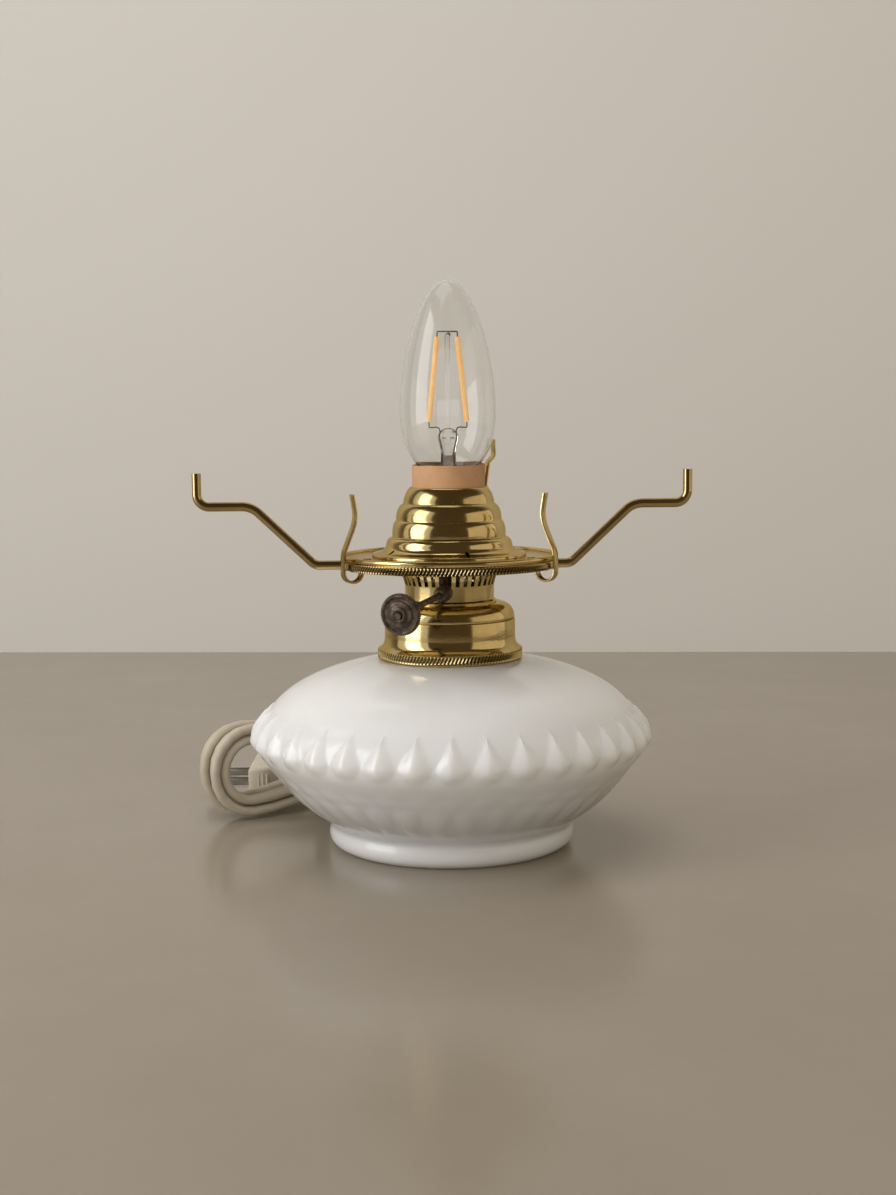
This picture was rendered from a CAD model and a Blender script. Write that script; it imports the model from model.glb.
# %% [markdown]
# # A table lamp in the style of an oil lamp
# The lamp has a font of white opal glass, a brass burner with a dark knob, two wire arms for a shade,
# springy prongs for a chimney, a clear candle bulb and a cream lead that is folded up behind it. The
# solids come in as a fixed frame. This lesson dresses them piece by piece: most pieces are turned on
# the lamp's axis, so a profile that is spun round Z is the tool that we meet most often.

# %% Load the frame
import bpy
import bmesh
from math import atan2, cos, hypot, pi, radians, sin, sqrt, tan
from mathutils import Matrix, Vector


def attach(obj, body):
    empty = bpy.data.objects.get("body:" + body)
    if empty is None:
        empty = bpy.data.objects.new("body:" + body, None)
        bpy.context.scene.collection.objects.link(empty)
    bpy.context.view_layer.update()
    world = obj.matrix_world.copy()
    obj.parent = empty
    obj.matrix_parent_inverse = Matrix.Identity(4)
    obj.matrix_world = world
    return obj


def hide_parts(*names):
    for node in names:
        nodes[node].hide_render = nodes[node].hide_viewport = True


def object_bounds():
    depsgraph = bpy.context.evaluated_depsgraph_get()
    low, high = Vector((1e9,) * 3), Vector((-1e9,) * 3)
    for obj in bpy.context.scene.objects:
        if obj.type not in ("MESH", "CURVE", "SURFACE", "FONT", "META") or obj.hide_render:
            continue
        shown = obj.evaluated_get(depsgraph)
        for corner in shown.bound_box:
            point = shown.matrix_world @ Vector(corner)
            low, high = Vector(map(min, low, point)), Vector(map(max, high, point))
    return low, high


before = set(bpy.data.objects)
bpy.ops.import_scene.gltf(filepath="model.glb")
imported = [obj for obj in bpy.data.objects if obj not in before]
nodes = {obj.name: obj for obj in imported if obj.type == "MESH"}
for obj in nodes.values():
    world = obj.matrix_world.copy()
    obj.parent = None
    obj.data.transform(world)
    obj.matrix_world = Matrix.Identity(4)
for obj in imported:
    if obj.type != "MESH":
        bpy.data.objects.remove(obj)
cad_low, cad_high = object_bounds()
MM = 0.001
box = [round((b - a) / MM, 1) for a, b in zip(cad_low, cad_high)]
print("solids:", len(nodes), "box in mm:", box)

# %% [markdown]
# ## The camera
# The picture was taken from the front, a little above the burner, with the camera tipped down by six
# degrees. The gallery and the foot show how flat their ellipses are, and that gives the height and the
# distance. A picture is 896 by 1195 pixels, and Blender's sensor width belongs to the longer side, so
# the lens follows from the focal length in pixels. The picture also leans by half a degree, which is a
# turn about the line of sight.

# %% Camera
PICTURE_HIGH = 1195
FOCAL_PIXELS = 1750
SENSOR = 36
EYE = Vector((-0.0006, -0.642, 0.1609))
TIP_DOWN = 6.18
LEAN = -0.55


def put_in_scene(name, data):
    made = bpy.data.objects.new(name, data)
    bpy.context.scene.collection.objects.link(made)
    return made


camera_data = bpy.data.cameras.new("camera")
camera_data.sensor_width = SENSOR
camera_data.lens = SENSOR * FOCAL_PIXELS / PICTURE_HIGH
camera = put_in_scene("camera", camera_data)
look = Matrix.Rotation(radians(90 - TIP_DOWN), 4, "X") @ Matrix.Rotation(radians(LEAN), 4, "Z")
camera.matrix_world = Matrix.Translation(EYE) @ look
bpy.context.scene.camera = camera
print("lens in mm:", round(camera_data.lens, 2))

# %% [markdown]
# ## Shader maths in plain Python
# Patterns are sums and products of coordinates and noise. Writing them as node links hides the thought,
# so one small class wraps a socket: an expression such as `1 - mask * 0.3` then adds the Math nodes by
# itself. Every other node comes from one method, which first sets the node up and then fills its
# sockets.

# %% Sockets that calculate
class Wire:
    """A socket of a node tree that takes part in Python sums."""

    def __init__(self, tree, socket):
        self.tree = tree
        self.socket = socket

    def math(self, operation, first, second):
        node = self.tree.nodes.new("ShaderNodeMath")
        node.operation = operation
        for place, value in enumerate((first, second)):
            if isinstance(value, Wire):
                self.tree.links.new(value.socket, node.inputs[place])
            else:
                node.inputs[place].default_value = value
        return Wire(self.tree, node.outputs[0])

    def __add__(self, other):
        return self.math("ADD", self, other)

    def __radd__(self, other):
        return self.math("ADD", other, self)

    def __rsub__(self, other):
        return self.math("SUBTRACT", other, self)

    def __mul__(self, other):
        return self.math("MULTIPLY", self, other)


print("sockets can add, subtract and multiply")


# %% Finishes and their helpers
class Finish:
    """A material with one Principled shader, and the helpers that its pattern needs."""

    def __init__(self, name, **constants):
        self.material = bpy.data.materials.new(name)
        self.material.use_nodes = True
        self.tree = self.material.node_tree
        self.tree.nodes.clear()
        output = self.tree.nodes.new("ShaderNodeOutputMaterial")
        self.shader = self.tree.nodes.new("ShaderNodeBsdfPrincipled")
        self.tree.links.new(self.shader.outputs[0], output.inputs["Surface"])
        for socket, value in constants.items():
            self.shader.inputs[socket.replace("_", " ")].default_value = value

    def node(self, kind, settings=None, inputs=None, out=0):
        made = self.tree.nodes.new(kind)
        for key, value in (settings or {}).items():
            setattr(made, key, value)
        for key, value in (inputs or {}).items():
            if isinstance(value, Wire):
                self.tree.links.new(value.socket, made.inputs[key])
            else:
                made.inputs[key].default_value = value
        return Wire(self.tree, made.outputs[out])

    def feed(self, **links):
        for socket, wire in links.items():
            self.tree.links.new(wire.socket, self.shader.inputs[socket.replace("_", " ")])
        return self

    def place(self):
        return self.node("ShaderNodeTexCoord", out="Object")

    def parts(self, vector):
        return [self.node("ShaderNodeSeparateXYZ", None, {0: vector}, axis) for axis in range(3)]

    def vector(self, x, y, z):
        return self.node("ShaderNodeCombineXYZ", None, {0: x, 1: y, 2: z})

    def noise(self, where, scale, detail=3.0, rough=0.5):
        return self.node("ShaderNodeTexNoise", None,
                         {"Vector": where, "Scale": scale, "Detail": detail, "Roughness": rough})

    def mix(self, mask, first, second):
        return self.node("ShaderNodeMix", {"data_type": "RGBA"},
                         {0: mask, 6: (*first, 1) if isinstance(first, tuple) else first,
                          7: (*second, 1) if isinstance(second, tuple) else second}, 2)

    def spread(self, wire, low, high):
        return self.node("ShaderNodeMapRange", None, {0: wire, 1: low, 2: high})

    def bump(self, height, strength, distance):
        return self.node("ShaderNodeBump", None,
                         {"Height": height, "Strength": strength, "Distance": distance}, "Normal")

    def done(self, colour, rough, height, strength, distance):
        normal = self.bump(height, strength, distance)
        return self.feed(Base_Color=colour, Roughness=rough, Normal=normal).material


print("shader helpers ready")

# %% [markdown]
# ## Finishes
# Brass on the lamp is polished sheet, but it has been handled: there are cloudy patches where the
# lacquer has worn, fine rings from the spinning tool, and a browner tone in the hollows. The clouds
# drive colour and roughness together, because a dull patch is both browner and rougher. The rings are
# noise that is squeezed along Z. Old polish stays in the milling, so a groove mask, which the milled
# pieces carry on their points, darkens it there.

# %% Brass
OLD_POLISH = (0.07, 0.042, 0.016)


def brass_finish(name, bright, aged, rings):
    finish = Finish(name, Metallic=1.0, Specular_Tint=(0.72, 0.62, 0.42, 1))
    where = finish.place()
    x, y, z = finish.parts(where)
    cloud = finish.spread(finish.noise(where, 38.0, 4.0, 0.6), 0.38, 0.72)
    specks = finish.spread(finish.noise(where, 900.0, 2.0, 0.6), 0.62, 0.74)
    lines = finish.noise(finish.vector(x * 3, y * 3, z * rings), 60.0, 2.0, 0.5)
    groove = finish.node("ShaderNodeAttribute", {"attribute_name": "groove"}, out="Fac")
    worn = finish.mix(cloud, bright, aged)
    speck_brown = (aged[0] * 0.45, aged[1] * 0.4, aged[2] * 0.35)
    spotted = finish.mix(specks * 0.35, worn, speck_brown)
    colour = finish.mix(groove * 0.9, spotted, OLD_POLISH)
    rough = 0.08 + cloud * 0.13 + specks * 0.12 + groove * 0.25
    height = lines * 0.4 + finish.noise(where, 140.0, 2.0, 0.5)
    return finish.done(colour, rough, height, 0.12, 0.0004)


brass = brass_finish("polished brass", (0.76, 0.615, 0.31), (0.56, 0.42, 0.18), 14)
wire_brass = brass_finish("drawn brass wire", (0.62, 0.48, 0.24), (0.4, 0.29, 0.125), 1)
print("brass finishes:", brass.name, wire_brass.name)

# %% [markdown]
# The opal glass is white all through and lets a little light in, so it gets some subsurface scattering
# with a short radius. Pressed glass is never quite even: a broad noise makes it a little warmer and
# cooler, and a low bump lets the highlights wander, as they do where a mould has chilled the surface.

# %% Opal glass
def opal_finish():
    finish = Finish("opal glass", Subsurface_Weight=0.75, Subsurface_Radius=(1.0, 0.92, 0.8),
                    Subsurface_Scale=0.012, IOR=1.5, Coat_Weight=0.35, Coat_Roughness=0.05)
    where = finish.place()
    cloud = finish.noise(where, 16.0, 3.0, 0.55)
    colour = finish.mix(finish.spread(cloud, 0.3, 0.7), (0.86, 0.86, 0.84), (0.9, 0.895, 0.87))
    rough = 0.1 + finish.noise(where, 45.0, 2.0) * 0.14
    height = finish.noise(where, 70.0, 2.0, 0.5) + finish.noise(where, 190.0, 2.0, 0.5) * 0.35
    return finish.done(colour, rough, height, 0.16, 0.0006)


opal = opal_finish()
print("glass finish:", opal.name)

# %% [markdown]
# The knob, its shaft and its bush are darkened bronze. High places have been rubbed, so a noise on a
# fine scale lets a warmer brown through. The insulating sleeve is pressed fibre: matt, salmon, with
# short fibres and small specks.

# %% Bronze and fibre
def bronze_finish():
    finish = Finish("darkened bronze", Metallic=0.6)
    where = finish.place()
    rubbed = finish.spread(finish.noise(where, 420.0, 4.0, 0.65), 0.42, 0.72)
    colour = finish.mix(rubbed, (0.065, 0.05, 0.037), (0.24, 0.175, 0.125))
    rough = 0.5 - rubbed * 0.16
    height = finish.noise(where, 800.0, 3.0, 0.6)
    return finish.done(colour, rough, height, 0.25, 0.0003)


def fibre_finish():
    finish = Finish("salmon fibre", IOR=1.4)
    where = finish.place()
    x, y, z = finish.parts(where)
    fibres = finish.noise(finish.vector(x, y, z * 0.35), 900.0, 3.0, 0.6)
    patches = finish.noise(where, 90.0, 3.0, 0.55)
    specks = finish.spread(finish.noise(where, 1300.0, 1.0, 0.5), 0.7, 0.78)
    base = finish.mix(finish.spread(patches, 0.35, 0.7), (0.68, 0.4, 0.215), (0.6, 0.335, 0.17))
    colour = finish.mix(specks * 0.5, base, (0.35, 0.17, 0.1))
    rough = 0.62 + fibres * 0.2
    return finish.done(colour, rough, fibres, 0.2, 0.0003)


bronze = bronze_finish()
fibre = fibre_finish()
print("dark and salmon finishes:", bronze.name, fibre.name)

# %% [markdown]
# The lead has a soft cover that has yellowed unevenly, with a little grime. The plug and the tie are
# harder mouldings of almost the same colour. Both read a noise on Object coordinates, so the pattern
# stays on the piece.

# %% Cream covers
def cream_finish(name, clean, grimy, rough_low, grain):
    finish = Finish(name, IOR=1.45)
    where = finish.place()
    age = finish.spread(finish.noise(where, 55.0, 4.0, 0.6), 0.4, 0.75)
    colour = finish.mix(age, clean, grimy)
    rough = rough_low + age * 0.15
    height = finish.noise(where, grain, 3.0, 0.6)
    return finish.done(colour, rough, height, 0.15, 0.0003)


cord_cover = cream_finish("cream lead cover", (0.58, 0.52, 0.41), (0.48, 0.415, 0.315), 0.42, 500.0)
cream_plastic = cream_finish("cream moulding", (0.66, 0.6, 0.49), (0.57, 0.5, 0.39), 0.36, 700.0)
print("cream finishes:", cord_cover.name, cream_plastic.name)

# %% [markdown]
# Small parts of the bulb and the lampholder: plated steel, phosphor on the filaments, which glows
# faintly even by daylight, clear glass, and the plain mouldings that are hidden in the burner. Clear
# glass is a shell with a real wall, so it needs no more than transmission, and a faint streak in the
# roughness, because blown glass carries a few drawn lines.

# %% Bulb and lampholder finishes
def plain_finish(name, light, dark, rough, metal, scale, **constants):
    finish = Finish(name, Metallic=metal, **constants)
    where = finish.place()
    mask = finish.spread(finish.noise(where, scale, 3.0, 0.55), 0.35, 0.7)
    colour = finish.mix(mask, light, dark)
    height = finish.noise(where, scale * 3, 2.0, 0.5)
    return finish.done(colour, rough + mask * 0.12, height, 0.1, 0.0002)


def clear_finish(name, tint, ior):
    finish = Finish(name, Transmission_Weight=1.0, IOR=ior, Base_Color=(*tint, 1))
    where = finish.place()
    x, y, z = finish.parts(where)
    streaks = finish.noise(finish.vector(x, y, z * 0.05), 260.0, 2.0, 0.5)
    return finish.feed(Roughness=finish.spread(streaks, 0.66, 0.9) * 0.03).material


steel = plain_finish("plated steel", (0.62, 0.62, 0.61), (0.45, 0.44, 0.43), 0.26, 1.0, 160.0)
dull_steel = plain_finish("dull steel", (0.22, 0.21, 0.2), (0.15, 0.14, 0.13), 0.5, 1.0, 160.0)
phosphor = plain_finish("orange phosphor", (0.97, 0.6, 0.24), (0.94, 0.52, 0.17), 0.5, 0.0, 300.0,
                        Emission_Color=(1.0, 0.55, 0.21, 1), Emission_Strength=0.38)
clear_glass = clear_finish("clear bulb glass", (0.985, 0.99, 0.985), 1.42)
rod_glass = clear_finish("clear rod glass", (0.97, 0.96, 0.95), 1.45)
plaster = plain_finish("cast plaster", (0.78, 0.75, 0.68), (0.7, 0.66, 0.58), 0.8, 0.0, 120.0)
dark_moulding = plain_finish("dark moulding", (0.05, 0.045, 0.04), (0.03, 0.027, 0.025), 0.4, 0.0, 200.0)
pale_moulding = plain_finish("pale moulding", (0.55, 0.5, 0.42), (0.48, 0.43, 0.35), 0.45, 0.0, 200.0)
black_glass = plain_finish("black glass bead", (0.02, 0.02, 0.022), (0.035, 0.033, 0.03), 0.15, 0.0, 90.0)
board_green = plain_finish("green board", (0.08, 0.26, 0.13), (0.06, 0.2, 0.1), 0.45, 0.0, 250.0)
print("small finishes, from", steel.name, "to", board_green.name)

# %% [markdown]
# What sits inside the burner and the cap is hardly seen, so those solids stay as they came and only get
# a finish. A table from finish to names says at a glance what is made of what.

# %% Finishes of the solids that stay
KEPT = {
    plaster: ["collar_plaster"],
    brass: ["screw_shell", "centre_contact", "pipe_nut", "pipe_washer", "switch_saddle", "arm_straps",
            "prong_rivets"],
    dark_moulding: ["socket_body", "switch_case"],
    pale_moulding: ["switch_rotor"],
    steel: ["cap_contact"],
    dull_steel: ["terminal_screws", "lamp_pipe"],
    black_glass: ["cap_insulator"],
    board_green: ["driver_board"],
    cord_cover: ["inner_cord"],
    bronze: ["knob_shaft"],
}
for material, names in KEPT.items():
    for name in names:
        for slot in nodes[name].material_slots:
            slot.material = material
print("solids that stay:", sum(len(names) for names in KEPT.values()))

# %% [markdown]
# ## From a mesh to a piece
# A finished piece is an object at the origin with its place in its mesh. The helper below closes
# doubled points, turns the faces outwards, shades the piece smooth with sharp creases, and says which
# body it rides on, which solids it stands for and which finish of the record it takes.

# %% Making a piece
TINY = 1e-6
CREASE = 32


def settle(name, shape, material, body, stands_for=(), crease=CREASE, modifiers=()):
    bmesh.ops.remove_doubles(shape, verts=shape.verts, dist=TINY)
    bmesh.ops.recalc_face_normals(shape, faces=shape.faces)
    mesh = bpy.data.meshes.new(name)
    shape.to_mesh(mesh)
    shape.free()
    piece = put_in_scene(name, mesh)
    for kind, values in modifiers:
        added = piece.modifiers.new(kind.lower(), kind)
        for key, value in values.items():
            setattr(added, key, value)
    if modifiers:
        drawn = piece.evaluated_get(bpy.context.evaluated_depsgraph_get())
        final = bpy.data.meshes.new_from_object(drawn)
        piece.modifiers.clear()
        piece.data = final
        bpy.data.meshes.remove(mesh)
        mesh = final
        mesh.name = name
    mesh.materials.clear()
    mesh.materials.append(material)
    mesh.shade_smooth()
    mesh.set_sharp_from_angle(angle=radians(crease))
    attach(piece, body)
    if stands_for:
        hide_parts(*stands_for)
    print(name, len(mesh.polygons), "faces")
    return piece


print("pieces crease at", CREASE, "degrees, unless they ask for another angle")

# %% [markdown]
# Turned pieces start as a profile: a chain of points in radius and height. Curves in a profile are
# short Bezier arcs, as a drawing has them. The spin operator sweeps the chain round Z and merges the
# seam. What isn't round, such as a petal or a milled edge, is then pressed into the spun mesh by moving
# its points in or out.

# %% Profiles and turning
def bend2(a, b, c, count):
    points = []
    for step in range(count + 1):
        t = step / count
        points.append(tuple((1 - t) ** 2 * p + 2 * t * (1 - t) * q + t * t * r
                            for p, q, r in zip(a, b, c)))
    return points


def bend3(a, b, c, d, count):
    points = []
    for step in range(count + 1):
        t = step / count
        k = 1 - t
        points.append(tuple(k ** 3 * p + 3 * k * k * t * q + 3 * k * t * t * r + t ** 3 * s
                            for p, q, r, s in zip(a, b, c, d)))
    return points


GROOVE_FULL = 0.4


def turned(profile, columns, relief=None, closed=False):
    shape = bmesh.new()
    chain = [shape.verts.new((r * MM, 0, z * MM)) for r, z in profile]
    for first, second in zip(chain, chain[1:]):
        shape.edges.new((first, second))
    if closed:
        shape.edges.new((chain[-1], chain[0]))
    bmesh.ops.spin(shape, geom=shape.verts[:] + shape.edges[:], cent=(0, 0, 0), axis=(0, 0, 1),
                   dvec=(0, 0, 0), angle=2 * pi, steps=columns, use_merge=True, use_duplicate=False)
    if relief:
        groove = shape.verts.layers.float.new("groove")
        for vert in shape.verts:
            radius = hypot(vert.co.x, vert.co.y)
            if radius > TINY:
                out = relief(atan2(vert.co.y, vert.co.x), radius / MM, vert.co.z / MM)
                vert[groove] = min(1.0, max(0.0, -out / GROOVE_FULL))
                vert.co.x *= 1 + out * MM / radius
                vert.co.y *= 1 + out * MM / radius
    return shape


def ramp(value, low, high):
    t = min(1.0, max(0.0, (value - low) / (high - low)))
    return t * t * (3 - 2 * t)


print("turning helpers ready")

# %% [markdown]
# ## The glass font
# The font is pressed in a mould: a round foot, a bowl with two rows of faint drops, a band of pointed
# petals at the widest place, and a smooth dome. The petals are a formula over the angle and the height:
# each is a round lobe at the bottom and turns into two facets with a ridge between them, which run out
# to a point at the top. A mould could be carved face by face instead, but a formula keeps all the
# petals equal. At the back of the foot the glass has a flat seat for the lead's grommet.

# %% Petals, drops and the grommet's seat
FOOT_INSIDE = 43
BOWL_INSIDE = 64
BOWL_RANGE = (10, 32)
PETALS = 36
PETAL_OUT = 2.2
PETAL_LOW = 35.4
PETAL_HIGH = 50.6
PETAL_WIDTH = 0.92
WIDEST_AT = 0.4
EXIT_DEGREES = 75
EXIT_TURN = radians(EXIT_DEGREES)
EXIT_HIGH = 9.0
SEAT = 44.6
SEAT_R = 5.4
# Each row of drops: shift round, middle height, half height, half width, rise
DROP_ROWS = ((0.5, 28.2, 2.6, 0.4, 0.35), (0.0, 19.4, 6.2, 0.42, 0.75))


def petal_relief(turn, height):
    across = (turn * PETALS / (2 * pi)) % 1.0
    across = 2 * min(across, 1 - across)
    up = (height - PETAL_LOW) / (PETAL_HIGH - PETAL_LOW)
    if not 0 < up < 1:
        return 0.0
    if up < WIDEST_AT:
        width = PETAL_WIDTH * sqrt(1 - ((WIDEST_AT - up) / WIDEST_AT) ** 2)
    else:
        width = PETAL_WIDTH * (1 - (up - WIDEST_AT) / (1 - WIDEST_AT)) ** 0.85
    side = min(1.0, across / max(width, 1e-3))
    facets = 1 - side ** 1.3
    lobe = (1 - side ** 2) ** 1.3
    rise = lobe + (facets - lobe) * ramp(up, 0.15, 0.5)
    swell = ramp(up, 0.0, 0.36) * (1 - 0.35 * ramp(up, 0.45, 1.0))
    return PETAL_OUT * swell * rise


def drop_relief(turn, height):
    out = 0.0
    for shift, middle, tall, wide, high in DROP_ROWS:
        across = ((turn * PETALS / (2 * pi) + shift) % 1.0 - 0.5) / wide
        along = (height - middle) / tall
        pinch = 1 - 0.3 * along
        out += high * max(0.0, 1 - (across * pinch) ** 2 - along ** 2)
    return out * (0.75 + 0.25 * sin(5 * turn + height / 4))


def font_relief(turn, radius, height):
    low, high = BOWL_RANGE
    if radius < FOOT_INSIDE:
        return 0.0
    if radius > BOWL_INSIDE and height > high:
        return petal_relief(turn, height)
    if low < height < high:
        return drop_relief(turn, height)
    return 0.0


def press_seat(shape):
    way = Vector((cos(EXIT_TURN), sin(EXIT_TURN), 0))
    side = Vector((-sin(EXIT_TURN), cos(EXIT_TURN), 0))
    for vert in shape.verts:
        out = vert.co.dot(way) / MM
        away = hypot(vert.co.dot(side) / MM, vert.co.z / MM - EXIT_HIGH)
        if away < SEAT_R and out > SEAT:
            vert.co += way * (SEAT - out) * MM


print("petals round the font:", PETALS)

# %% Glass font
FOOT_CREASE = (44.5, 8.6)
BAND_LOW = (68.2, 31.6)
BAND_HIGH = (67.4, 50.2)
FONT_TOP = 69.2
foot = bend2((41.5, 0.0), (46.9, 2.15), (45.0, 7.3), 12)
foot += bend2((45.0, 7.3), FOOT_CREASE, (45.8, 10.1), 5)[1:]
bowl = bend2((45.8, 10.1), (59.0, 19.0), (66.3, 29.4), 34)
blend_in = bend2((66.3, 29.4), BAND_LOW, (69.9, 33.9), 6)
band = bend2((69.9, 33.9), (75.6, 41.2), BAND_HIGH, 30)
dome_side = bend2(BAND_HIGH, (58.4, 63.88), (26.8, FONT_TOP), 18)
outside = foot + bowl[1:] + blend_in[1:] + band[1:] + dome_side[1:]
neck = [(19.6, FONT_TOP), (19.6, 78.2), (16.0, 78.2), (16.0, 64.6)]
inside = [(28.0, 63.6), (45.0, 59.0), (57.0, 52.5), (63.2, 46.0), (66.6, 40.6), (65.6, 36.0),
          (63.2, 31.0), (56.8, 22.5), (47.0, 14.0), (40.0, 8.0), (37.0, 6.6), (0.0, 6.5)]
under = [(0.0, 1.5), (34.8, 1.5), (35.6, 1.2), (36.6, 0.2), (37.2, 0.0)]
font_shape = turned(under + outside + neck + inside, PETALS * 16, font_relief)
press_seat(font_shape)
settle("opal_font", font_shape, opal, "lamp", ["glass_font"], 50)

# %% [markdown]
# ## Collar and burner base
# The collar is spun brass, set on the glass neck with plaster. Its rim is milled with slanting strokes
# like a rope. The strokes are cut into the spun mesh with a wave that runs round the rim and climbs
# with the height, and the gallery's skirt uses the same wave later. The burner's base screws into the
# collar and closes it with a rounded shoulder.

# %% Collar
COLLAR_STROKES = 126
COLLAR_SLANT = 2.3
COLLAR_CUT = 0.55
COLLAR_SKIN = 25.4
ROPE_LOW = FONT_TOP + 1.15
ROPE_HIGH = FONT_TOP + 3.55


def rope_wave(steps, low_edge, high_edge, height):
    wave = 0.5 + 0.5 * cos(steps)
    return wave ** 0.8 * (ramp(height, *low_edge) * (1 - ramp(height, *high_edge)))


def collar_milling(turn, radius, height):
    if radius < COLLAR_SKIN or not ROPE_LOW - 0.3 < height < ROPE_HIGH + 0.3:
        return 0.0
    steps = COLLAR_STROKES * turn - COLLAR_SLANT * (height - ROPE_LOW)
    low_edge = (ROPE_LOW - 0.25, ROPE_LOW + 0.2)
    high_edge = (ROPE_HIGH - 0.2, ROPE_HIGH + 0.25)
    return -COLLAR_CUT * rope_wave(steps, low_edge, high_edge, height)


rim = [(23.2, FONT_TOP), (25.9, FONT_TOP), (26.5, 69.5), (26.75, 69.9), (26.6, 70.2)]
rope_rows = [(26.7, 70.35 + 0.3 * step) for step in range(9)]
flare = bend2((26.6, 73.0), (25.0, 73.9), (24.5, 75.0), 5)
flare += [(24.15, 76.2), (24.1, 78.0), (24.1, 83.4)]
rolled = [(24.0, 83.8), (23.7, 84.0), (23.2, 84.0)]
collar_shape = turned(rim + rope_rows + flare + rolled, COLLAR_STROKES * 5, collar_milling, True)
settle("milled_collar", collar_shape, brass, "lamp", ["collar"], 40)

# %% Burner base
base_profile = [(22.2, 79.4), (23.1, 79.4), (23.1, 84.0), (23.6, 84.05), (23.85, 84.3)]
base_profile += bend2((23.9, 84.8), (23.5, 90.0), (17.4, 90.0), 12) + [(5.1, 90.0), (5.1, 89.1)]
base_profile += bend2((16.4, 89.1), (22.2, 89.1), (22.2, 84.0), 8)
base_shape = turned(base_profile, 144, None, True)
settle("burner_shoulder", base_shape, brass, "lamp", ["burner_base"], 40)

# %% [markdown]
# ## Drilling and walls
# Round holes are cut with a Boolean, whose tool is a second mesh that is thrown away afterwards. The
# tool is a few plain cylinders, turned and moved to where the drill would go. Sheet metal and blown
# glass get their wall from Solidify, which grows it inwards from the drawn skin.

# %% Drills
def moved(shape, matrix):
    bmesh.ops.transform(shape, matrix=matrix, verts=shape.verts)
    return shape


def joined(*shapes):
    whole = bmesh.new()
    for shape in shapes:
        part = bpy.data.meshes.new("part")
        shape.to_mesh(part)
        shape.free()
        whole.from_mesh(part)
        bpy.data.meshes.remove(part)
    return whole


def drill(radius, length, place, segments=20):
    tool = bmesh.new()
    bmesh.ops.create_cone(tool, cap_ends=True, segments=segments, radius1=radius * MM,
                          radius2=radius * MM, depth=length * MM)
    return moved(tool, place)


def tool_object(drills):
    whole = joined(*drills)
    mesh = bpy.data.meshes.new("tool")
    whole.to_mesh(mesh)
    whole.free()
    made = put_in_scene("tool", mesh)
    bpy.context.view_layer.update()
    return made


def drilled(tool):
    return ("BOOLEAN", {"object": tool, "operation": "DIFFERENCE", "solver": "EXACT"})


def walled(thickness):
    return ("SOLIDIFY", {"thickness": thickness * MM, "offset": -1.0})


def throw_away(tool):
    mesh = tool.data
    bpy.data.objects.remove(tool)
    bpy.data.meshes.remove(mesh)


def at(x, y, z):
    return Matrix.Translation((x * MM, y * MM, z * MM))


def around(degrees, axis="Z"):
    return Matrix.Rotation(radians(degrees), 4, axis)


print("drills and walls ready")

# %% [markdown]
# ## Throat and gallery
# Above the base the burner narrows to a throat, which then flares out with a row of slots, so that air
# could reach a flame. The slots are faces that are taken out of the spun sheet before Solidify gives it
# a wall. The gallery is a wide plate with a rolled lip and a milled skirt, and the arms leave through
# two holes that are drilled in that skirt.

# %% Throat with its slots
SLOTS = 36
SLOT_HALF = 0.25
SLOT_LOW = 96.6
SLOT_HIGH = 103.4

throat_out = [(17.2, 90.0), (17.2, 90.7), (16.9, 91.0), (16.4, 91.3), (16.4, 96.0)]
throat_out += bend2((16.4, 96.0), (17.2, 102.0), (22.5, 105.1), 16)[1:] + [(22.5, 106.0)]
throat_shape = turned(throat_out, SLOTS * 8)


def in_slot(face):
    middle = face.calc_center_median()
    part = (atan2(middle.y, middle.x) * SLOTS / (2 * pi)) % 1.0
    return min(part, 1 - part) < SLOT_HALF and SLOT_LOW < middle.z / MM < SLOT_HIGH


open_faces = [face for face in throat_shape.faces if in_slot(face)]
bmesh.ops.delete(throat_shape, geom=open_faces, context="FACES")
settle("slotted_throat", throat_shape, brass, "lamp", ["burner_throat"], 35, [walled(0.8)])

# %% Gallery with its milled skirt
SKIRT_STROKES = 188
SKIRT_SLANT = 2.6
SKIRT_CUT = 0.6
SKIRT_LOW = 103.0
SKIRT_SKIN = 39.0
ARM_HIGH = 103.8
ARM_HOLE = 1.86


def skirt_milling(turn, radius, height):
    if radius < SKIRT_SKIN or not 102.9 < height < 105.7:
        return 0.0
    steps = SKIRT_STROKES * turn - SKIRT_SLANT * (height - SKIRT_LOW)
    return -SKIRT_CUT * rope_wave(steps, (SKIRT_LOW, 103.4), (105.2, 105.6), height)


skirt = [(38.3, 106.0), (38.3, 103.2), (38.6, 102.85), (39.2, 102.8)]
skirt += [(39.55, SKIRT_LOW + 0.3 * step) for step in range(9)] + [(39.3, 105.65), (39.0, 105.8)]
lip = [(39.3, 105.95), (39.62, 106.25), (39.78, 106.7), (39.78, 107.15), (39.6, 107.55),
       (39.3, 107.8), (38.95, 107.88), (38.6, 107.75), (38.35, 107.45), (38.2, 107.05)]
plate = [(37.6, 106.9), (34.0, 106.9), (28.0, 106.9), (5.1, 106.9), (5.1, 106.0), (28.0, 106.0)]
gallery_shape = turned(skirt + lip + plate, SKIRT_STROKES * 5, skirt_milling, True)
arm_holes = tool_object([drill(ARM_HOLE, 6, at(39 * side, 0, ARM_HIGH) @ around(90, "Y"))
                         for side in (-1, 1)])
settle("milled_gallery", gallery_shape, brass, "lamp", ["gallery"], 40, [drilled(arm_holes)])
throw_away(arm_holes)

# %% [markdown]
# ## The stepped dome
# The dome carries the lampholder. It is one sheet with a wide foot, a shoulder with small air holes and
# three rounded rings. The profile is drawn ring by ring, the wall comes from Solidify, and the holes
# are drilled.

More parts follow.
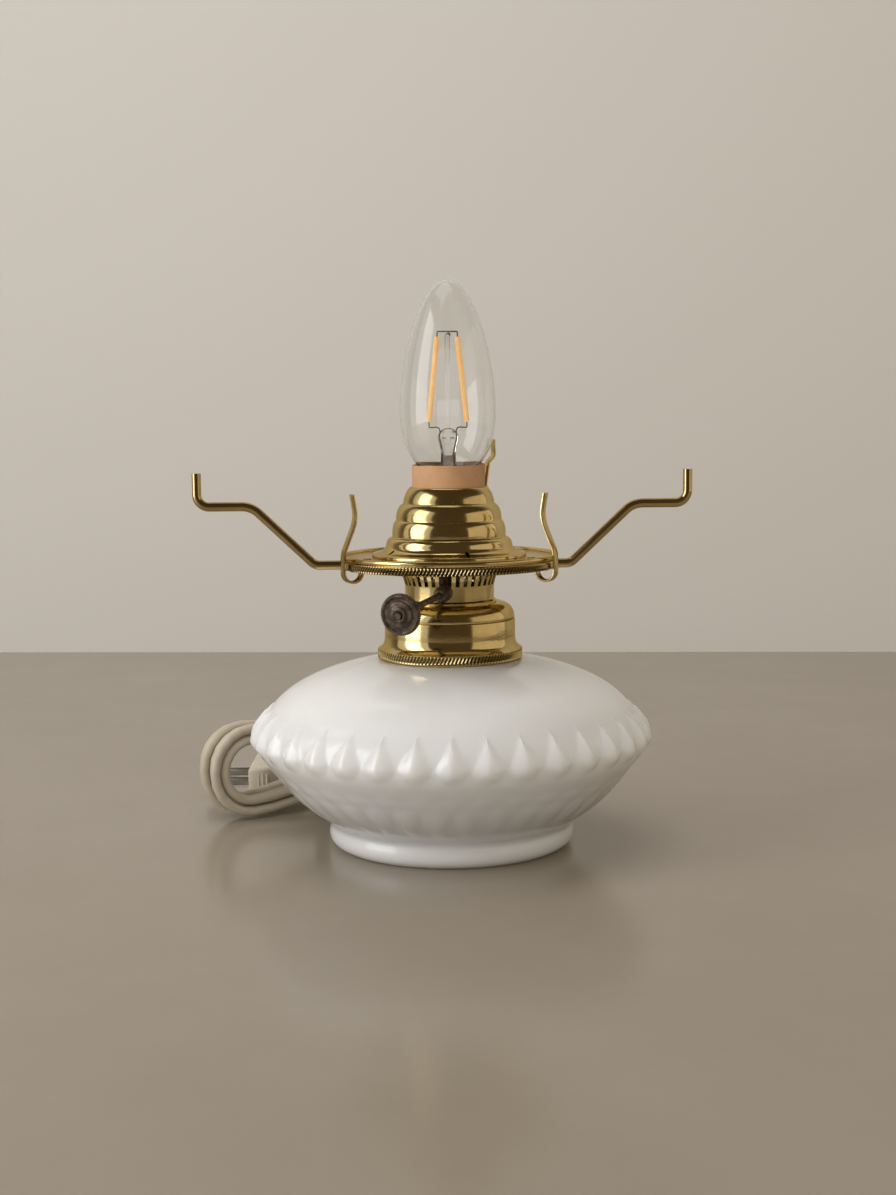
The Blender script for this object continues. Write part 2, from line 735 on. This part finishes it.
# %% Dome
dome_out = [(28.4, 106.9), (28.4, 107.7), (28.25, 108.0), (27.9, 108.2)]
dome_out += bend2((27.4, 108.4), (23.6, 108.9), (23.2, 111.2), 12)
dome_out += bend2((23.2, 111.2), (23.0, 113.4), (21.5, 113.9), 6)[1:] + [(21.05, 114.05)]
dome_out += bend2((20.85, 114.3), (21.05, 118.0), (19.8, 119.9), 10) + [(19.5, 120.05)]
dome_out += bend2((19.35, 120.3), (19.5, 124.1), (17.4, 126.0), 10) + [(16.95, 126.15)]
dome_out += bend2((16.75, 126.4), (16.4, 129.8), (14.4, 132.1), 10) + [(14.0, 132.2)]
AIR_HOLES = 5
AIR_HOLE_R = 0.8
AIR_HIGH = 109.2
AIR_REACH = 26.8
AIR_TURN = 285
air_drills = []
for hole in range(AIR_HOLES):
    outwards = around(AIR_TURN + 360 // AIR_HOLES * hole) @ around(90, "Y")
    air_drills.append(drill(AIR_HOLE_R, 8, at(0, 0, AIR_HIGH) @ outwards @ at(0, 0, AIR_REACH)))
air_holes = tool_object(air_drills)
settle("stepped_dome", turned(dome_out, 192), brass, "lamp", ["dome"], 38,
       [walled(0.6), drilled(air_holes)])
throw_away(air_holes)

# %% [markdown]
# ## Sleeve and clip
# A ring of salmon fibre stands in the dome's mouth and insulates the lampholder. It was cut by hand, so
# its upper edge is a little uneven. A bent brass strip leans on the dome beside it. Strips are made
# flat: a chain of points is extruded to its width, Solidify gives the thickness and Bevel breaks the
# edges.

# %% Sleeve
def cut_edge(shape):
    for vert in shape.verts:
        turn = atan2(vert.co.y, vert.co.x)
        lift = 0.22 * sin(turn + 0.4) + 0.12 * sin(3 * turn + 1.1) + 0.05 * sin(11 * turn)
        vert.co.z += lift * MM * ramp(vert.co.z / MM, 136.0, 140.5)


sleeve_profile = [(12.62, 119.2), (13.4, 119.2), (13.4, 126.0), (13.4, 132.0), (13.4, 136.0),
                  (13.4, 139.9), (13.3, 140.35), (13.0, 140.45), (12.7, 140.35), (12.62, 139.9),
                  (12.62, 136.0), (12.62, 128.0)]
sleeve_shape = turned(sleeve_profile, 128, None, True)
cut_edge(sleeve_shape)
settle("fibre_sleeve", sleeve_shape, fibre, "lamp", ["insulating_sleeve"], 50)


# %% Bent strips
def strip(path, width, turn):
    shape = bmesh.new()
    chain = [shape.verts.new((r * MM, -width / 2 * MM, z * MM)) for r, z in path]
    edges = [shape.edges.new(pair) for pair in zip(chain, chain[1:])]
    grown = bmesh.ops.extrude_edge_only(shape, edges=edges)["geom"]
    far_side = [item for item in grown if isinstance(item, bmesh.types.BMVert)]
    bmesh.ops.translate(shape, vec=(0, width * MM, 0), verts=far_side)
    return moved(shape, around(turn))


def strip_wall(thickness):
    return [("SOLIDIFY", {"thickness": thickness * MM, "offset": 0.0, "use_even_offset": True}),
            ("BEVEL", {"width": thickness * 0.22 * MM, "segments": 2, "limit_method": "ANGLE",
                       "angle_limit": radians(40)})]


CLIP_WIDTH = 3.0
CLIP_TURN = 25
clip_path = bend2((16.1, 129.4), (15.7, 130.8), (14.95, 132.4), 4)
clip_path += bend2((15.0, 133.2), (15.5, 137.0), (16.0, 140.4), 6)
clip_path += bend2((16.3, 141.2), (18.0, 142.4), (18.55, 143.8), 5)
clip_path += bend2((18.5, 144.6), (18.2, 146.5), (18.3, 149.2), 4)
clip_shape = strip(clip_path, CLIP_WIDTH, CLIP_TURN)
settle("bent_clip", clip_shape, brass, "lamp", ["sleeve_clip"], 40, strip_wall(0.8))

# %% [markdown]
# ## Chimney prongs
# Three springy strips hold a chimney. Each is riveted under the plate, curls round below the skirt,
# rises outside it and leans in before its tip turns out again. Only their feet differ in place, so one
# path serves all three.

# %% Prongs
TAB_HIGH = 105.25
CURL_OUT = 38.45
CURL_HIGH = 102.4
CURL = 3.5
CURL_STEPS = 14
PRONG_WIDTH = 3.4
PRONG_TURNS = {"prong_left": 205, "prong_right": 335, "prong_back": 90}
prong_path = [(30.6, TAB_HIGH), (33.6, TAB_HIGH), (34.4, TAB_HIGH - 0.15), (34.85, TAB_HIGH - 0.7)]
for step in range(CURL_STEPS + 1):
    turn = pi + pi * step / CURL_STEPS
    prong_path.append((CURL_OUT + CURL * cos(turn), CURL_HIGH + CURL * sin(turn)))
prong_path += bend2((41.95, 106.0), (41.9, 107.6), (41.7, 109.2), 3)
prong_path += bend2((41.5, 110.2), (40.55, 112.5), (38.6, 117.0), 6)
prong_path += bend2((38.2, 118.0), (37.2, 120.6), (37.1, 123.0), 5)
prong_path += bend2((37.15, 124.2), (37.5, 127.0), (38.2, 130.5), 5)
for name, turn in PRONG_TURNS.items():
    prong_shape = strip(prong_path, PRONG_WIDTH, turn)
    settle("springy_" + name, prong_shape, brass, name, [name], 40, strip_wall(0.9))

# %% [markdown]
# ## Wire arms
# An arm is one length of drawn wire with a flattened head, bent three times. A wire is easiest as a
# curve with a round section: the bends are arcs of points, and the curve becomes a mesh as soon as it
# is done, so that it can be shaded and exported like the rest.

# %% Wires
def rounded(corners, radii, count=8):
    points = [Vector(corners[0])]
    for before, corner, after, radius in zip(corners, corners[1:], corners[2:], radii):
        corner = Vector(corner)
        back = (Vector(before) - corner).normalized()
        ahead = (Vector(after) - corner).normalized()
        half = back.angle(ahead) / 2
        trim = radius / tan(half)
        centre = corner + (back + ahead).normalized() * (radius / sin(half))
        start = corner + back * trim - centre
        stop = corner + ahead * trim - centre
        for step in range(count + 1):
            points.append(centre + radius * start.slerp(stop, step / count).normalized())
    points.append(Vector(corners[-1]))
    return points


def round_line(name, points, radius, sides):
    line = bpy.data.curves.new(name, "CURVE")
    line.dimensions = "3D"
    line.bevel_depth = radius * MM
    line.bevel_resolution = sides
    line.use_fill_caps = True
    spline = line.splines.new("POLY")
    spline.points.add(len(points) - 1)
    for point, place in zip(spline.points, points):
        point.co = (*(Vector(place) * MM), 1)
    return line


def wire_mesh(points, radius, sides):
    line = round_line("wire", points, radius, sides)
    drawn = put_in_scene("wire", line)
    ready = drawn.evaluated_get(bpy.context.evaluated_depsgraph_get())
    mesh = bpy.data.meshes.new_from_object(ready)
    shape = bmesh.new()
    shape.from_mesh(mesh)
    bpy.data.objects.remove(drawn)
    bpy.data.curves.remove(line)
    bpy.data.meshes.remove(mesh)
    return shape


print("wire helpers ready")

# %% Arms
ARM_ROOT = 27.2
ARM_REACHES = (47, 70, 90)
ARM_SHIFT = -2.4
ARM_RAISED = ARM_HIGH + 21.8
ARM_TIP = ARM_RAISED + 12.3
ARM_BENDS = (4.5, 9.0, 4.5)
ARM_WIRE = 1.69
ARM_HEAD = 2.05
for name, side in (("arm_right", 1), ("arm_left", -1)):
    first, second, tip = (side * reach + ARM_SHIFT for reach in ARM_REACHES)
    arm_points = rounded([(side * ARM_ROOT, 0, ARM_HIGH), (first, 0, ARM_HIGH), (second, 0, ARM_RAISED),
                          (tip, 0, ARM_RAISED), (tip, 0, ARM_TIP)], ARM_BENDS)
    arm_head = drill(ARM_HEAD, 1.6, at(side * 27.9, 0, ARM_HIGH) @ around(90, "Y"), 24)
    arm_shape = joined(wire_mesh(arm_points, ARM_WIRE, 6), arm_head)
    settle("wire_" + name, arm_shape, wire_brass, name, [name], 45)

# %% [markdown]
# ## Knob and bush
# The knob is a small stamped wheel with a milled edge, a raised rim and a stepped boss. It is turned on
# Z first, with the milling pressed in as on the collar, and then laid on the shaft's slanting line with
# one matrix.

# %% Knob
SHAFT_AT = Vector((4.234, -1.797, 96.1)) * MM
SHAFT_TURN = 247
SHAFT_TILT = 95.2
SHAFT_FRAME = Matrix.Translation(SHAFT_AT) @ around(SHAFT_TURN) @ around(SHAFT_TILT, "Y")
KNOB_TEETH = 54
KNOB_CUT = 0.38
KNOB_SKIN = 5.9
KNOB_REACH = 53.8


def knob_milling(turn, radius, height):
    if radius < KNOB_SKIN:
        return 0.0
    wave = 0.5 - 0.5 * cos(KNOB_TEETH * turn)
    return -KNOB_CUT * wave * ramp(radius, 6.2, 7.0)


back = [(1.2, -2.4), (2.0, -2.4), (2.3, -2.2), (2.6, -0.8), (5.7, -0.6), (6.2, -0.95), (6.7, -1.2)]
edge = [(7.2, -1.0), (7.38, -0.6), (7.38, 0.0), (7.38, 0.6), (7.2, 1.0)]
raised_rim = [(6.85, 1.25), (6.4, 1.28), (6.0, 1.05), (5.7, 0.72), (5.2, 0.7), (4.85, 0.72)]
boss = [(4.72, 1.1), (4.45, 1.3), (3.8, 1.34), (3.1, 1.36), (2.85, 1.5), (2.7, 2.0), (2.4, 2.2),
        (1.9, 2.2), (1.5, 2.05), (1.2, 1.6)]
knob_profile = [(r, z + KNOB_REACH) for r, z in back + edge + raised_rim + boss]
knob_shape = moved(turned(knob_profile, KNOB_TEETH * 6, knob_milling, True), SHAFT_FRAME)
settle("milled_knob", knob_shape, bronze, "knob", ["knob_wheel"], 38)

bush_profile = [(1.2, 14.3), (2.9, 14.3), (2.9, 17.0), (3.05, 17.3), (3.05, 17.8), (2.88, 18.1)]
bush_profile += bend2((2.85, 18.2), (2.85, 20.2), (1.8, 20.6), 8) + [(1.2, 20.6)]
bush_shape = moved(turned(bush_profile, 48, None, True), SHAFT_FRAME)
settle("bell_bush", bush_shape, bronze, "lamp", ["shaft_bush"], 40)

# %% [markdown]
# ## The candle bulb
# The glass is blown thin and comes to a rounded point. Inside, a glass stem rises from the cap and is
# pressed flat round the lead wires. Two straight filaments lean together, joined at the top by a
# bracket. The shell is one turned skin with a wall from Solidify, so light bends in and out of it as in
# the real bulb.

# %% Bulb glass
BULB_R = 17.5
BULB_WIDEST = 160.3
bulb_out = [(6.55, 129.9), (6.55, 132.0)]
bulb_out += bend2((6.55, 133.6), (8.15, 137.4), (12.0, 140.8), 8)
bulb_out += bend2((12.0, 140.8), (BULB_R, 147.43), (BULB_R, BULB_WIDEST), 16)[1:]
bulb_out += bend3((BULB_R, BULB_WIDEST), (BULB_R, 177.85), (10.4, 207.0), (0.0, 207.35), 40)[1:]
settle("candle_glass", turned(bulb_out, 96), clear_glass, "bulb", ["bulb_glass"], 60,
       [walled(0.6)])

# %% Glass stem
STEM_TOP = 187.7
BUBBLE_R = 0.85
stem_out = bend2((5.5, 132.2), (3.0, 136.0), (2.6, 144.5), 8)
stem_out += bend2((2.6, 144.5), (2.7, 146.6), (3.2, 148.2), 4)[1:]
stem_out += bend2((3.2, 148.2), (4.0, 150.4), (3.0, 152.2), 6)[1:]
stem_out += bend2((3.0, 152.2), (2.2, 153.4), (0.9, 153.6), 5)[1:]
stem_out += [(0.9, 160.0), (0.9, 175.0), (0.9, STEM_TOP - 0.5), (0.6, STEM_TOP), (0.0, STEM_TOP)]
stem_shape = turned(stem_out, 40)
for vert in stem_shape.verts:
    flat = ramp(vert.co.z / MM, 141.0, 147.0) * (1 - ramp(vert.co.z / MM, 152.4, 153.6))
    vert.co.y *= 1 - 0.4 * flat
    vert.co.x *= 1 + 0.05 * flat
bubbles = []
for x in (-1.45, 1.45):
    bubble = bmesh.new()
    bmesh.ops.create_uvsphere(bubble, u_segments=16, v_segments=10, radius=BUBBLE_R * MM,
                              matrix=at(x, -1.0, 149.6))
    bubbles.append(bubble)
stem_shape = joined(stem_shape, *bubbles)
settle("glass_stem", stem_shape, rod_glass, "bulb", ["bulb_stem"], 60)

# %% Filaments, bracket and lead wires
FILAMENT_LOW = 156.0
FILAMENT_TOP = 186.5
FILAMENT_FOOT = 6.9
FILAMENT_HEAD = 3.7
FILAMENT_R = 0.98
for name, side in (("filament_left", -1), ("filament_right", 1)):
    low = Vector((side * FILAMENT_FOOT, 0, FILAMENT_LOW))
    high = Vector((side * FILAMENT_HEAD, 0, FILAMENT_TOP))
    ends = [low, low.lerp(high, 0.012), low.lerp(high, 0.988), high]
    rod_shape = wire_mesh(ends, FILAMENT_R, 5)
    settle("phosphor_" + name, rod_shape, phosphor, "bulb", [name], 50)

bar = FILAMENT_TOP + 2.0
bracket_points = rounded([(-FILAMENT_HEAD, 0, FILAMENT_TOP + 0.15), (-3.72, 0, bar), (3.72, 0, bar),
                          (FILAMENT_HEAD, 0, FILAMENT_TOP + 0.15)], (0.5, 0.5), 5)
loop_points = []
for step in range(13):
    loop_high = FILAMENT_TOP + 1.05 + 0.45 * cos(step * pi / 5)
    loop_points.append((1.1 * sin(step * pi / 12), 0.5 * cos(step * pi / 8), loop_high))
bracket_shape = joined(wire_mesh(bracket_points, 0.26, 3), wire_mesh(loop_points, 0.16, 2))
settle("top_bracket", bracket_shape, dull_steel, "bulb", ["filament_bracket"], 50)

# Each corner of a lead wire: distance from the axis, drop below the filament's foot
WIRE_CORNERS = ((FILAMENT_FOOT, 0.2), (6.95, 2.2), (3.2, 1.9), (2.7, 6.5), (1.5, 12.0), (1.7, 20.0))
WIRE_BENDS = (0.5, 1.3, 3.0, 3.0)
feet = []
for side in (-1, 1):
    corners = [(side * out, 0, FILAMENT_LOW - drop) for out, drop in WIRE_CORNERS]
    feet.append(wire_mesh(rounded(corners, WIRE_BENDS, 6), 0.24, 3))
settle("lead_wires_bent", joined(*feet), dull_steel, "bulb", ["lead_wires"], 50)

# %% Cap
CAP_R = 6.55
CAP_WAVE = 0.4
CAP_PITCH = 2.82
cap_profile = [(6.1, 113.4), (6.4, 113.45), (6.55, 113.8)]
for step in range(61):
    cap_profile.append((CAP_R + CAP_WAVE * cos(2 * pi * step / 12), 114.1 + CAP_PITCH * step / 12))
cap_profile += [(6.95, 129.4), (6.95, 130.4), (6.6, 130.45), (6.6, 127.2), (6.1, 127.2)]
settle("screw_cap", turned(cap_profile, 72, None, True), steel, "bulb", ["bulb_cap"], 60)

# %% [markdown]
# ## The lead
# The lead leaves the foot at the back through a ribbed grommet, bends down to the table and runs into a
# hank: twelve half turns in four layers, drawn in at the waist by a tie. It is one smooth line from the
# grommet to the plug, so it is one curve. The route has the same points as the solid, and the hank
# comes from the same formula.

# %% Form of the hank
CORD = 3.8
HANK_TURNS = 12
HANK_LAYER = 3
HANK_R = 18.2
HANK_HALF = 41.0
HANK_STEP = 4.4
HANK_DRAW = 5.0
HANK_DEGREES = 35
HANK_TURN = radians(HANK_DEGREES)
HANK_MIDDLE = Vector((-48.6, 66.3, 20.2))
ALONG = Vector((cos(HANK_TURN), sin(HANK_TURN), 0))
ACROSS = Vector((-sin(HANK_TURN), cos(HANK_TURN), 0))
UP = Vector((0, 0, 1))


def wound_in(turns):
    first = HANK_LAYER + 0.25
    if turns <= first:
        return turns
    layer, rest = divmod(turns - first, HANK_LAYER)
    return first - rest if layer % 2 == 0 else 0.25 + rest


def hank_point(turns):
    whole = int(turns)
    part = 2 * (turns - whole)
    side = -1 if whole % 2 == 0 else 1
    radius = HANK_R - HANK_STEP / 2 * wound_in(turns)
    if part <= 1:
        run = side * HANK_HALF * (2 * part - 1)
        height = side * (radius - HANK_DRAW * (1 + cos(pi * run / HANK_HALF)) / 2)
    else:
        run = side * (HANK_HALF + radius * sin(pi * (part - 1)))
        height = side * radius * cos(pi * (part - 1))
    climbed = sum(ramp((turns - HANK_LAYER * layer) * 2, 0.0, 1.0) for layer in (1, 2, 3))
    return HANK_MIDDLE + ALONG * run + ACROSS * HANK_STEP * (climbed - 1.5) + UP * height


print("half turns in the hank:", HANK_TURNS)

# %% Route of the lead
HANK_ROWS = 20
EXIT_WAY = Vector((cos(EXIT_TURN), sin(EXIT_TURN), 0))
EXIT_REACH = 66.4
EXIT_POINT = EXIT_WAY * EXIT_REACH + UP * EXIT_HIGH
DOWN_TO_HANK = ((19, 74, 8.2), (17.6, 79.6, 7), (14.6, 84.4, 5.6), (10.4, 88, 4.2), (5.2, 90, 3.1),
                (-0.4, 90.2, 2.4))
UP_TO_PLUG = ((-29.6, 88.7, 3.7), (-33.4, 87.8, 4.9), (-37, 87.45, 6.1))
PLUG_REAR = Vector((-44.0, 87.4, 6.85))


def smooth_route(points, count=6):
    ends = [2 * points[0] - points[1]] + points + [2 * points[-1] - points[-2]]
    route = []
    for a, b, c, d in zip(ends, ends[1:], ends[2:], ends[3:]):
        for step in range(count):
            t = step / count
            route.append(0.5 * (2 * b + (c - a) * t + (2 * a - 5 * b + 4 * c - d) * t * t
                                + (3 * b - a - 3 * c + d) * t ** 3))
    route.append(points[-1])
    return route


hank = [hank_point(step / HANK_ROWS) for step in range(HANK_TURNS * HANK_ROWS)]
hank.append(hank_point(HANK_TURNS - 1e-9))
hank_start = hank[0] + ALONG * CORD
hank_stop = hank[-1] - ALONG * CORD
lead_out = [EXIT_POINT, EXIT_POINT + EXIT_WAY * CORD] + [Vector(point) for point in DOWN_TO_HANK]
lead_out += [hank_start + ALONG * CORD, hank_start]
lead_in = [hank_stop, hank_stop - ALONG * CORD] + [Vector(point) for point in UP_TO_PLUG]
lead_in += [PLUG_REAR + Vector((CORD, 0, 0)), PLUG_REAR]
route = smooth_route(lead_out) + hank + smooth_route(lead_in)
route_length = sum((b - a).length for a, b in zip(route, route[1:])) * MM
print("lead in m:", round(route_length, 4), "points:", len(route))

# %% Lead as a curve
lead_line = round_line("cream_lead", route, CORD / 2, 4)
lead_line.materials.append(cord_cover)
lead = put_in_scene("cream_lead", lead_line)
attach(lead, "lamp")
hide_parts("cord_lead", "cord_hank", "cord_tail")
print("lead as a curve:", lead.name)

# %% [markdown]
# The grommet keeps the lead from being bent sharply where it leaves the glass. It is a turned cone with
# rings, so that it bends evenly, and it is then laid down to point out of the foot.

# %% Grommet
LAY_OUT = at(0, 0, EXIT_HIGH) @ around(EXIT_DEGREES) @ around(90, "Y")
RINGS_FROM = 46.4
RING_STEP = 2.9
grommet_profile = [(2.0, 35.6), (3.5, 35.6), (3.5, SEAT), (4.9, SEAT), (5.0, 44.8), (5.0, 46.1),
                   (4.8, RINGS_FROM), (3.9, RINGS_FROM)]
for ring in range(6):
    start = 47.2 + RING_STEP * ring
    radius = 3.85 - 0.16 * (start - RINGS_FROM) / RING_STEP
    grommet_profile += [(radius - 0.45, start), (radius - 0.45, start + 0.9),
                        (radius, start + 1.1), (radius, start + 2.5)]
grommet_profile += [(2.72, 65.4), (2.6, 66.2), (2.0, 66.38)]
grommet_shape = moved(turned(grommet_profile, 40, None, True), LAY_OUT)
settle("ribbed_grommet", grommet_shape, cord_cover, "lamp", ["strain_relief"], 40)

# %% [markdown]
# The plug is a flat moulding that widens from its neck to its face, with finger ridges at its sides.
# Its outline is one face that is extruded and bevelled. The neck is a turned cone with rings, like the
# grommet.

# %% Plug
PLUG_LOW = -6.75
PLUG_THICK = 13.5
PLUG_FACE = -40
plug_shape = bmesh.new()
half_outline = [(-19.5, 6.3), (-22, 7.6), (-26, 12.0), (-30, 15.6), (-33.6, 17.3), (-38.6, 17.3),
                (PLUG_FACE, 16.4)]
plug_outline = [(x, -y) for x, y in half_outline] + half_outline[::-1]
rim_points = [plug_shape.verts.new((PLUG_REAR + Vector((x, y, PLUG_LOW))) * MM) for x, y in plug_outline]
floor_face = plug_shape.faces.new(rim_points)
grown = bmesh.ops.extrude_face_region(plug_shape, geom=[floor_face])["geom"]
top_points = [item for item in grown if isinstance(item, bmesh.types.BMVert)]
bmesh.ops.translate(plug_shape, vec=(0, 0, PLUG_THICK * MM), verts=top_points)
bmesh.ops.recalc_face_normals(plug_shape, faces=plug_shape.faces)
flat_edges = [edge for edge in plug_shape.edges
              if abs(edge.verts[0].co.z - edge.verts[1].co.z) < TINY]
bmesh.ops.bevel(plug_shape, geom=flat_edges, offset=1.6 * MM, segments=4, profile=0.5,
                affect="EDGES", material=-1)
neck_profile = [(2.0, 0.0), (2.65, 0.05)]
for ring in range(5):
    start = 0.8 + 3.2 * ring
    radius = 2.75 + 0.17 * start
    neck_profile += [(radius, start), (radius + 0.2, start + 1.9), (radius - 0.4, start + 2.1),
                     (radius - 0.35, start + 3.0)]
neck_profile += [(5.4, 17.4), (5.6, 20.4), (2.0, 20.6)]
neck_shape = moved(turned(neck_profile, 36, None, True), at(*PLUG_REAR) @ around(-90, "Y"))
ridges = []
for side in (-1, 1):
    for step in range(3):
        ridges.append(drill(0.55, 8, at(*PLUG_REAR) @ at(-35.6 + 1.7 * step, side * 17.0, 0), 12))
plug_whole = joined(plug_shape, neck_shape, *ridges)
plug = settle("flat_plug", plug_whole, cream_plastic, "lamp", ["plug_body"], 40)

# %% [markdown]
# Two round pins stand in the plug's face, and a band of the same moulding as the plug ties the hank at
# its waist. The band is a box without its ends, with rounded corners and a wall from Solidify. The last
# call tells the frame what this lead is: where it leaves the lamp, how long and thick it is, and which
# pieces go with it.

# %% Pins and tie
PIN_APART = 19.0
TIE_SIZE = (7.0, 19.4, 32.6)
pin_profile = [(0.0, 0.0), (2.0, 0.0), (2.0, 9.0), (1.95, 9.2), (1.95, 17.6), (1.6, 18.6), (0.9, 19.0),
               (0.0, 19.0)]
pin_shapes = []
for side in (-1, 1):
    pin_place = at(*PLUG_REAR) @ at(PLUG_FACE, side * PIN_APART / 2, 0) @ around(-90, "Y")
    pin_shapes.append(moved(turned(pin_profile, 28), pin_place))
pins = settle("round_pins", joined(*pin_shapes), steel, "lamp", ["plug_pins"], 40)

tie_shape = bmesh.new()
bmesh.ops.create_cube(tie_shape, size=1.0)
bmesh.ops.scale(tie_shape, vec=[side * MM for side in TIE_SIZE], verts=tie_shape.verts)
ends = [face for face in tie_shape.faces if abs(face.normal.x) > 0.9]
bmesh.ops.delete(tie_shape, geom=ends, context="FACES")
corners = [edge for edge in tie_shape.edges if abs(edge.verts[0].co.x - edge.verts[1].co.x) > 1e-4]
bmesh.ops.bevel(tie_shape, geom=corners, offset=3.0 * MM, segments=6, profile=0.5, affect="EDGES",
                material=-1)
tie_shape = moved(tie_shape, at(*HANK_MIDDLE) @ around(HANK_DEGREES))
tie = settle("hank_tie", tie_shape, cream_plastic, "lamp", ["cord_tie"], 40,
             [walled(0.8)])

# %% [markdown]
# ## Floor, wall and light
# The lamp stands on a pale floor in front of a plain wall. A bright light with a wider, paler one
# behind it stands on the left, as a window with its curtain would, and a warm, weaker one on the right
# puts the square patch on the brass. Two soft lights, from above and from the room, only fill the
# shadows: they don't mirror in the metal, which keeps the middle of the brass dark. The wall is drawn
# from its front alone, so that views from behind look past it.

# %% Stage
def stage_plane(name, size, place, material):
    shape = bmesh.new()
    bmesh.ops.create_grid(shape, x_segments=1, y_segments=1, size=0.5)
    bmesh.ops.scale(shape, vec=(*size, 1), verts=shape.verts)
    mesh = bpy.data.meshes.new(name)
    moved(shape, place).to_mesh(mesh)
    shape.free()
    plane = put_in_scene(name, mesh)
    mesh.materials.append(material)
    print("stage:", name)


def floor_finish():
    finish = Finish("pale floor", IOR=1.4)
    where = finish.place()
    cloud = finish.noise(where, 9.0, 5.0, 0.6)
    grain = finish.spread(finish.noise(where, 700.0, 2.0, 0.6), 0.3, 0.7)
    base = finish.mix(finish.spread(cloud, 0.3, 0.7), (0.308, 0.264, 0.205), (0.344, 0.299, 0.237))
    colour = finish.mix(grain * 0.3, base, (0.31, 0.265, 0.21))
    rough = 0.14 + finish.noise(where, 25.0, 3.0) * 0.1
    return finish.feed(Base_Color=colour, Roughness=rough).material


def wall_finish():
    finish = Finish("pale wall", Roughness=0.9, Base_Color=(0.785, 0.758, 0.717, 1))
    away = finish.tree.nodes.new("ShaderNodeBsdfTransparent")
    side = finish.node("ShaderNodeNewGeometry", out="Backfacing")
    mixed = finish.tree.nodes.new("ShaderNodeMixShader")
    output = [n for n in finish.tree.nodes if n.type == "OUTPUT_MATERIAL"][0]
    finish.tree.links.new(side.socket, mixed.inputs[0])
    finish.tree.links.new(finish.shader.outputs[0], mixed.inputs[1])
    finish.tree.links.new(away.outputs[0], mixed.inputs[2])
    finish.tree.links.new(mixed.outputs[0], output.inputs["Surface"])
    return finish.material


WALL_AT = (0, 0.508, 2.5)
WALL_TURN = -3.7
wall_place = Matrix.Translation(WALL_AT) @ around(WALL_TURN) @ around(90, "X")
stage_plane("floor", (8, 8), Matrix.Identity(4), floor_finish())
stage_plane("wall", (8, 5), wall_place, wall_finish())


# %% Light
def soft_light(name, place, target, size, power, colour, mirrored=True):
    lamp = bpy.data.lights.new(name, "AREA")
    lamp.shape = "RECTANGLE"
    lamp.size, lamp.size_y = size
    lamp.energy = power
    lamp.color = colour
    light = put_in_scene(name, lamp)
    light.visible_glossy = mirrored
    aim = (Vector(target) - Vector(place)).to_track_quat("-Z", "Y")
    light.matrix_world = Matrix.Translation(place) @ aim.to_matrix().to_4x4()
    print("light:", name, power, "W")


soft_light("window", (-0.81, -0.36, 0.43), (0, -0.24, 0.33), (0.52, 0.86), 3.7, (0.98, 0.99, 1.0))
soft_light("window curtain", (-0.85, -0.38, 0.45), (0, -0.24, 0.33), (1.24, 0.96), 2.3, (1.0, 0.98, 0.95))
soft_light("right", (0.82, -0.22, 0.32), (0, 0, 0.3), (1.24, 0.6), 1.3, (1.0, 0.86, 0.66))
soft_light("top", (-0.2, 0.0, 1.4), (0, 0.12, 0.2), (1.1, 1.1), 8.2, (1.0, 0.98, 0.95), False)
soft_light("room", (-0.1, -1.3, 0.42), (0, 0, 0.15), (1.7, 0.8), 6.2, (1.0, 0.97, 0.93), False)

world = bpy.data.worlds.new("world")
world.use_nodes = True
background = world.node_tree.nodes["Background"]
background.inputs["Color"].default_value = (0.8, 0.58, 0.32, 1)
background.inputs["Strength"].default_value = 0.09
bpy.context.scene.world = world
bpy.context.scene.view_settings.view_transform = "Standard"
